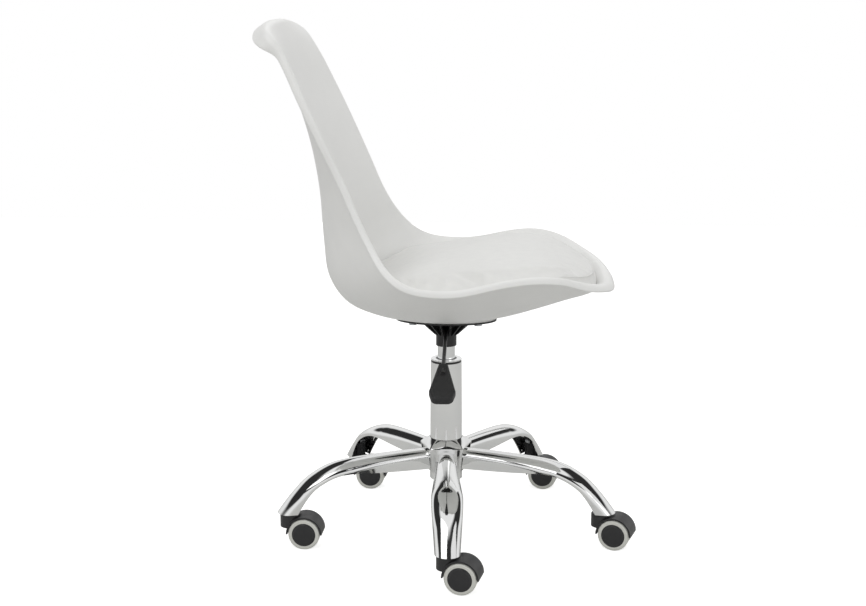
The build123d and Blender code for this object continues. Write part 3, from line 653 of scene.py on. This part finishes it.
hub = mesh_piece("pressed_hub", hub_grid.reshape(-1, 3), grid_faces(*hub_grid.shape[:2], True), chrome)
weld(hub, 0.00001)
hub.data.set_sharp_from_angle(angle=radians(28))
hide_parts("base_hub")
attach(hub, "base")
print("hub", len(hub.data.polygons), "faces")

# %% [markdown]
# ## The seat pad
#
# The pad is cut foam on the plywood board, inside a sewn leatherette cover. Its outline is a rounded
# square. The edge lies in the shell with a narrow side band showing, taller at the front, and the top
# is crowned. It is built a little slack, then inflated by a cloth simulation, which rounds its edges
# and spreads the cover as real filling does. A welt is sewn along the top edge afterwards.

# %% Pad form
pad_centre, pad_half_length, pad_half_width, pad_power = 45.0, 193.0, 200.0, 2.3
pad_lift = 1.5            # between the pad and the shell
band_side, band_front = 8.0, 21.0
crown = np.array([(-175, 414), (-100, 438), (0, 457), (90, 467), (170, 465), (222, 450), (243, 434)])
pad_spokes, pad_rings = 128, 22
spokes = np.linspace(0, 2 * np.pi, pad_spokes, endpoint=False)
rim_x = pad_centre + pad_half_length * np.sign(np.cos(spokes)) * np.abs(np.cos(spokes)) ** (2 / pad_power)
rim_y = pad_half_width * np.sign(np.sin(spokes)) * np.abs(np.sin(spokes)) ** (2 / pad_power)
floor_z = np.array([shell_height(x, y) for x, y in zip(rim_x, rim_y)]) + pad_lift
seam_z = floor_z + band_side + (band_front - band_side) * eased(rim_x, 110, 225)
top_side, under_side = [], []
for share in np.linspace(0, 1, pad_rings):
    x, y = pad_centre + share * (rim_x - pad_centre), share * rim_y
    crown_z = catmull(crown[:, 0].astype(float), crown[:, 1:].astype(float), x)[:, 0]
    top_side.append(np.stack([x, y, seam_z + (crown_z - seam_z) * (1 - share ** 3.2)], axis=1))
    bed = np.array([shell_height(a, b) for a, b in zip(x, y)]) + pad_lift
    under_side.append(np.stack([x, y, bed], axis=1))
band = [top_side[-1] * (1 - t) + under_side[-1] * t for t in (0.33, 0.67)]
pad_grid = np.stack(top_side + band + under_side[::-1], axis=1)
pad = mesh_piece("seat_pad", pad_grid.reshape(-1, 3), grid_faces(pad_spokes, pad_grid.shape[1], True),
                 leatherette)
weld(pad, 0.00002)
seam_line = top_side[-1]
print("pad box", pad.dimensions)

# %% Inflate the pad
voxel = 0.005
swell_limit = 0.006       # how far the cover may move from its cut shape
pad_pressure = 4.0


def inflate(piece):
    """Remesh a closed form evenly, fill it with air as cloth for 20 frames, and keep the capped result."""
    bpy.context.view_layer.objects.active = piece
    remesh = piece.modifiers.new("even_cells", "REMESH")
    remesh.mode = "VOXEL"
    remesh.voxel_size = voxel
    bpy.ops.object.modifier_apply(modifier=remesh.name)
    start = np.array([v.co for v in piece.data.vertices])
    cloth = piece.modifiers.new("filling", "CLOTH")
    cloth.settings.use_pressure = True
    cloth.settings.uniform_pressure_force = pad_pressure
    cloth.settings.effector_weights.gravity = 0
    for step in range(1, 21):
        scene.frame_set(step)
    swollen = piece.evaluated_get(bpy.context.evaluated_depsgraph_get())
    moved = np.array([v.co for v in swollen.data.vertices]) - start
    piece.modifiers.remove(cloth)
    scene.frame_set(1)
    size = np.linalg.norm(moved, axis=1, keepdims=True)
    moved *= np.minimum(1, swell_limit / np.maximum(size, 1e-9))
    bed = np.array([shell_height(x * 1000, y * 1000) for x, y, z in start]) / 1000
    above = np.clip((start[:, 2] - bed - 0.004) / 0.012, 0, 1)[:, None]
    final = start + moved * above
    piece.data.vertices.foreach_set("co", final.astype(np.float32).ravel())
    piece.data.update()
    print("pad swelled by up to", round(float(size.max()) * 1000, 1), "mm")


inflate(pad)
finer = pad.modifiers.new("finer", "SUBSURF")
finer.levels = finer.render_levels = 1
pad.data.shade_smooth()
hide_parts("seat_cushion")
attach(pad, "seat")

# %% [markdown]
# ## The welt
#
# Where the top panel meets the side band, the cover's two edges are folded over a thin cord and sewn
# together. It shows as a fine raised line round the pad, so it is a thin tube that follows the seam
# and sits half in the cover.

# %% Welt along the seam
def tube_along(name, line, thickness, finish, around=8):
    """A closed tube that follows a closed line of points, in mm."""
    ahead = np.roll(line, -1, axis=0) - np.roll(line, 1, axis=0)
    ahead /= np.linalg.norm(ahead, axis=1, keepdims=True)
    side = np.cross(ahead, (0, 0, 1))
    side /= np.linalg.norm(side, axis=1, keepdims=True)
    up = np.cross(side, ahead)
    circle = [line + thickness * (cos(a) * side + sin(a) * up)
              for a in np.linspace(0, 2 * np.pi, around + 1)]
    grid = np.stack(circle, axis=1)
    piece = mesh_piece(name, grid.reshape(-1, 3), grid_faces(len(line), around + 1, True), finish)
    weld(piece, 0.000001)
    return piece


bpy.context.view_layer.update()
surface = BVHTree.FromObject(pad, bpy.context.evaluated_depsgraph_get())
on_cover = np.array([surface.find_nearest(Vector(p / 1000))[0] for p in seam_line]) * 1000
for _ in range(4):
    on_cover = on_cover / 2 + (np.roll(on_cover, 1, axis=0) + np.roll(on_cover, -1, axis=0)) / 4
welt = tube_along("seat_pad_welt", on_cover, 1.2, leatherette)
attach(welt, "seat")
print("welt", len(welt.data.polygons), "faces")

# %% [markdown]
# ## Floor and light
#
# The chair stands on a seamless white studio floor. The floor looks paper white to the camera, yet
# stays a plain pale matte surface for the light that bounces from it. Soft light comes from above.
# Chrome shows only what surrounds it, so the studio has dark flags between its pale walls and its
# pale ceiling: they draw the black streaks along the legs that make chrome read as chrome.

# %% Studio floor
floor_size = 6.0
bpy.ops.mesh.primitive_grid_add(x_subdivisions=8, y_subdivisions=8, size=floor_size)
floor = bpy.context.object
floor.name = "studio_floor"
paper, tree, shader, point = new_finish("matte_white_paper", Roughness=0.9)
shader.inputs["Base Color"].default_value = linear("D8D8D6")
shader.inputs["Specular IOR Level"].default_value = 0.0
seen = add_node(tree, "ShaderNodeLightPath")
bright = add_node(tree, "ShaderNodeEmission", {"Color": (1, 1, 1, 1), "Strength": 0.72})
both = add_node(tree, "ShaderNodeAddShader", {0: shader.outputs["BSDF"], 1: bright.outputs["Emission"]})
choice = add_node(tree, "ShaderNodeMixShader", {0: seen.outputs["Is Camera Ray"],
                                                1: shader.outputs["BSDF"], 2: both.outputs["Shader"]})
tree.links.new(choice.outputs["Shader"], tree.nodes["Material Output"].inputs["Surface"])
floor.data.materials.append(paper)
print("floor", floor_size, "m square")

# %% Surroundings
world = bpy.data.worlds.new("studio")
scene.world = world
world.use_nodes = True
tree = world.node_tree
tree.nodes.clear()
path = add_node(tree, "ShaderNodeLightPath")
direction = add_node(tree, "ShaderNodeTexCoord").outputs["Generated"]
parts = add_node(tree, "ShaderNodeSeparateXYZ", {"Vector": direction})
height = add_node(tree, "ShaderNodeMapRange", {"Value": parts.outputs["Z"], "From Min": -1.0,
                                               "From Max": 1.0})
soft = add_node(tree, "ShaderNodeValToRGB", {"Fac": height.outputs["Result"]})
soft.color_ramp.elements[0].color = (0.22, 0.22, 0.22, 1)
soft.color_ramp.elements[1].color = (0.78, 0.78, 0.78, 1)
mirror = add_node(tree, "ShaderNodeValToRGB", {"Fac": height.outputs["Result"]})
mirror.color_ramp.elements[0].color = (0.55, 0.54, 0.53, 1)
mirror.color_ramp.elements[1].color = (0.95, 0.95, 0.95, 1)
for place, value in ((0.50, 0.75), (0.62, 0.95), (0.70, 0.9), (0.74, 0.03), (0.93, 0.03), (0.96, 1.0)):
    stop = mirror.color_ramp.elements.new(place)
    stop.color = (value, value, value, 1)
not_camera = add_node(tree, "ShaderNodeMix", {0: path.outputs["Is Glossy Ray"], 6: soft.outputs["Color"],
                                              7: mirror.outputs["Color"]}, data_type="RGBA")
sky = add_node(tree, "ShaderNodeMix", {0: path.outputs["Is Camera Ray"], 6: not_camera.outputs[2],
                                       7: (1, 1, 1, 1)}, data_type="RGBA")
background = add_node(tree, "ShaderNodeBackground", {"Color": sky.outputs[2]})
add_node(tree, "ShaderNodeOutputWorld", {"Surface": background.outputs["Background"]})
scene.view_settings.view_transform = "Standard"
print("world", world.name)

# %% Soft boxes
soft_boxes = {
    # place, size and power in watts of each large soft light, all aimed at the seat
    "key": ((-0.9, -1.6, 2.4), 1.8, 16),
    "fill": ((1.9, -1.2, 1.6), 1.6, 7),
    "back": ((0.3, 2.0, 2.2), 1.8, 9),
}
aim = Vector((0, 0, 0.45))
for name, (place, size, power) in soft_boxes.items():
    lamp = bpy.data.objects.new("soft_box_" + name, bpy.data.lights.new("soft_box_" + name, "AREA"))
    lamp.data.size = size
    lamp.data.energy = power
    lamp.location = place
    lamp.rotation_euler = (lamp.location - aim).to_track_quat("Z", "Y").to_euler()
    lamp.visible_camera = False
    scene.collection.objects.link(lamp)
print(len(soft_boxes), "soft boxes")
